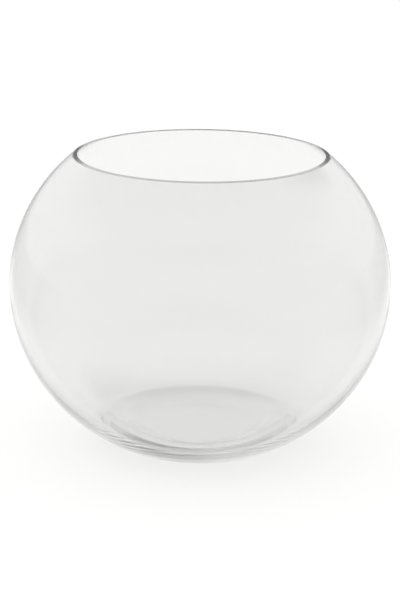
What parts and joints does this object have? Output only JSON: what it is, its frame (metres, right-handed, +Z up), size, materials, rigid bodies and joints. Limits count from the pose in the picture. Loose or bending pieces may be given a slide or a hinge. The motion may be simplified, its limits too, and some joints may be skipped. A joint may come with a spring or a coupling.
{
  "type": "glass vase",
  "caption": "Squat spherical bowl vase of clear blown glass with a wide cut mouth, thin wall and thick flat base, for flowers, water or floating candles.",
  "frame": {"origin": "middle of the base plane on which the bowl stands", "axes": "+Z up along the bowl's axis of revolution, through the middle of its mouth"},
  "size_m": [0.25, 0.25, 0.1948],
  "materials": {
    "clear_glass": "clear blown soda-lime glass, fire-polished, with a cut and polished rim"
  },
  "bodies": {
    "root": {"glass_bowl": "clear_glass"}
  },
  "joints": []
}
